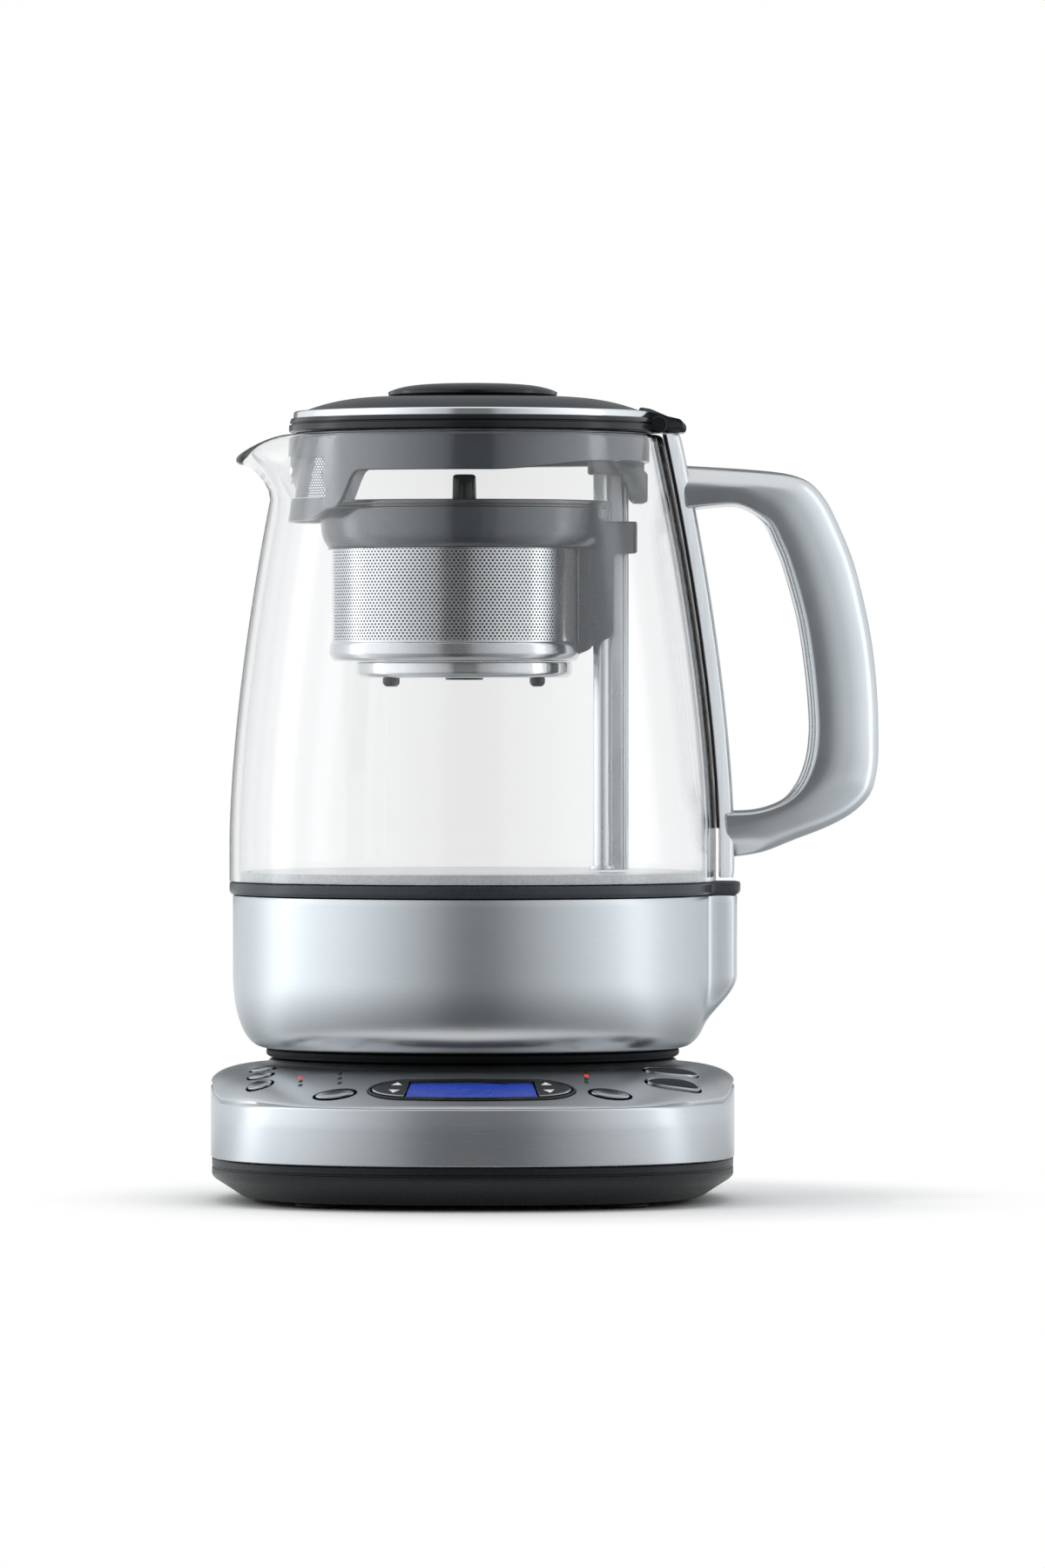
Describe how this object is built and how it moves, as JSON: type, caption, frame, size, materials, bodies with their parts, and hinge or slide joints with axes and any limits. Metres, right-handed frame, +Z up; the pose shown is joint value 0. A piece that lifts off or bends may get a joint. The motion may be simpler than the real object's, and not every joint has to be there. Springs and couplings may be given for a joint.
{
  "type": "automatic tea maker",
  "caption": "Glass tea jug with a powered infusion basket, lid and side handle, standing on a round-cornered steel power base with a display and buttons.",
  "frame": {"origin": "middle of the whole maker's outline at the table, under the feet", "axes": "+Z up; the control panel faces -Y; the jug's handle points to +X and its spout to -X"},
  "size_m": [0.2372, 0.186, 0.2902],
  "materials": {
    "tray_plastic": "satin, near black",
    "housing_steel": "fine horizontal brushing",
    "foot_rubber": "matte",
    "screw_steel": "plain",
    "connector_plastic": "satin",
    "frame_plastic": "gloss, near black",
    "lens_glass": "clear gloss",
    "screen_glow": "lit blue",
    "rocker_plastic": "satin dark grey",
    "button_chrome": "polished",
    "button_grey": "fine brushed, dark grey, bright edge",
    "light_pipe": "small clear pips, some lit red",
    "circuit_board": "solder mask",
    "inlet_plastic": "matte",
    "cup_steel": "fine horizontal brushing",
    "seat_plastic": "satin black",
    "band_plastic": "dark slate, satin gloss",
    "jug_glass": "clear",
    "seal_silicone": "translucent grey",
    "plate_steel": "polished",
    "element_steel": "plain",
    "post_steel": "polished",
    "column_alloy": "satin",
    "arch_alloy": "satin, cast",
    "grip_plastic": "soft matte grey",
    "carriage_plastic": "matte",
    "basket_plastic": "translucent slate",
    "drum_steel": "perforated all over its front and left",
    "base_plate_steel": "polished",
    "basket_lid_steel": "brushed",
    "basket_knob_plastic": "satin",
    "rim_plastic": "dark slate gloss",
    "trim_steel": "polished",
    "dome_plastic": "translucent slate",
    "knob_plastic": "dark gloss",
    "filter_steel": "fine mesh"
  },
  "bodies": {
    "base": {"base_tray": "tray_plastic", "base_housing": "housing_steel", "foot_front_left": "foot_rubber", "foot_rear_left": "foot_rubber", "foot_front_right": "foot_rubber", "foot_rear_right": "foot_rubber", "tray_screw_front_left": "screw_steel", "tray_screw_rear_left": "screw_steel", "tray_screw_front_right": "screw_steel", "tray_screw_rear_right": "screw_steel", "base_connector": "connector_plastic", "display_frame": "frame_plastic", "display_lens": "lens_glass", "lcd_module": "screen_glow", "indicator_light_left": "light_pipe", "indicator_light_right": "light_pipe", "control_board": "circuit_board", "power_board": "circuit_board", "cord_inlet": "inlet_plastic"},
    "connector_shutter": {"connector_shutter": "connector_plastic"},
    "rocker_left": {"rocker_left": "rocker_plastic"},
    "rocker_right": {"rocker_right": "rocker_plastic"},
    "preset_button_rear": {"preset_button_rear": "button_chrome"},
    "preset_button_middle": {"preset_button_middle": "button_chrome"},
    "preset_button_front": {"preset_button_front": "button_chrome"},
    "tea_type_button": {"tea_type_button": "button_chrome"},
    "strength_button": {"strength_button": "button_chrome"},
    "basket_cycle_button": {"basket_cycle_button": "button_grey"},
    "start_button": {"start_button": "button_grey"},
    "jug": {"steel_cup": "cup_steel", "jug_foot": "seat_plastic", "band_ring": "band_plastic", "glass_body": "jug_glass", "glass_seal": "seal_silicone", "heater_plate": "plate_steel", "heating_element": "element_steel", "temperature_probe": "element_steel", "lift_motor": "element_steel", "jug_connector": "connector_plastic", "lift_post": "post_steel", "handle_column": "column_alloy", "column_gasket": "seal_silicone", "handle_arch": "arch_alloy", "handle_grip": "grip_plastic", "handle_screw_upper": "screw_steel", "handle_screw_lower": "screw_steel"},
    "lead_screw": {"lead_screw": "screw_steel"},
    "magnet_carriage": {"magnet_carriage": "carriage_plastic"},
    "basket": {"basket_rim": "basket_plastic", "basket_drum": "drum_steel", "basket_base": "base_plate_steel"},
    "basket_lid": {"basket_lid": "basket_lid_steel", "basket_knob": "basket_knob_plastic"},
    "lid": {"lid_rim": "rim_plastic", "lid_trim": "trim_steel", "lid_dome": "dome_plastic", "lid_knob": "knob_plastic", "lid_skirt": "dome_plastic", "spout_filter": "filter_steel"}
  },
  "joints": [
    {"name": "jug_swivel", "type": "hinge", "parent": "base", "child": "connector_shutter", "pos_m": [-0.0256, 0, 0.0508], "axis": [0, 0, 1], "continuous": true},
    {"name": "jug_lift_off", "type": "slide", "parent": "connector_shutter", "child": "jug", "axis": [0, 0, 1], "range_m": [0, 0.08]},
    {"name": "lid_lift_off", "type": "slide", "parent": "jug", "child": "lid", "axis": [0, 0, 1], "range_m": [0, 0.07]},
    {"name": "basket_travel", "type": "slide", "parent": "jug", "child": "basket", "axis": [0, 0, 1], "range_m": [-0.058, 0]},
    {"name": "carriage_travel", "type": "slide", "parent": "jug", "child": "magnet_carriage", "axis": [0, 0, 1], "range_m": [-0.058, 0]},
    {"name": "screw_turn", "type": "hinge", "parent": "jug", "child": "lead_screw", "pos_m": [0.0212, 0, 0.187], "axis": [0, 0, 1], "range_deg": [0, 2611]},
    {"name": "basket_lid_lift_off", "type": "slide", "parent": "basket", "child": "basket_lid", "axis": [0, 0, 1], "range_m": [0, 0.018]},
    {"name": "rocker_left_tilt", "type": "hinge", "parent": "base", "child": "rocker_left", "pos_m": [-0.0545, -0.08029, 0.04136], "axis": [0.9644, -0.2646, 0], "range_deg": [-3, 3], "stiffness_Nm_per_rad": 0.02},
    {"name": "rocker_right_tilt", "type": "hinge", "parent": "base", "child": "rocker_right", "pos_m": [0.0033, -0.08029, 0.04136], "axis": [0.9644, 0.2646, 0], "range_deg": [-3, 3], "stiffness_Nm_per_rad": 0.02},
    {"name": "preset_button_rear_press", "type": "slide", "parent": "base", "child": "preset_button_rear", "axis": [0.1607, 0.1158, -0.9802], "range_m": [0, 0.001], "stiffness_N_per_m": 200, "springref_m": -0.003},
    {"name": "preset_button_middle_press", "type": "slide", "parent": "base", "child": "preset_button_middle", "axis": [0.2451, 0.2272, -0.9425], "range_m": [0, 0.001], "stiffness_N_per_m": 200, "springref_m": -0.003},
    {"name": "preset_button_front_press", "type": "slide", "parent": "base", "child": "preset_button_front", "axis": [0.3157, 0.3271, -0.8907], "range_m": [0, 0.001], "stiffness_N_per_m": 200, "springref_m": -0.003},
    {"name": "tea_type_button_press", "type": "slide", "parent": "base", "child": "tea_type_button", "axis": [0.1947, 0.4114, -0.8904], "range_m": [0, 0.001], "stiffness_N_per_m": 200, "springref_m": -0.003},
    {"name": "strength_button_press", "type": "slide", "parent": "base", "child": "strength_button", "axis": [-0.1945, 0.4103, -0.8909], "range_m": [0, 0.001], "stiffness_N_per_m": 200, "springref_m": -0.003},
    {"name": "basket_cycle_button_press", "type": "slide", "parent": "base", "child": "basket_cycle_button", "axis": [-0.1753, 0.1878, -0.9664], "range_m": [0, 0.001], "stiffness_N_per_m": 200, "springref_m": -0.003},
    {"name": "start_button_press", "type": "slide", "parent": "base", "child": "start_button", "axis": [-0.2567, 0.3239, -0.9106], "range_m": [0, 0.001], "stiffness_N_per_m": 200, "springref_m": -0.003}
  ],
  "couplings": [
    {"joint": "carriage_travel", "follows": "basket_travel", "ratio": 1},
    {"joint": "screw_turn", "follows": "basket_travel", "rad_per_m": -785.4}
  ]
}
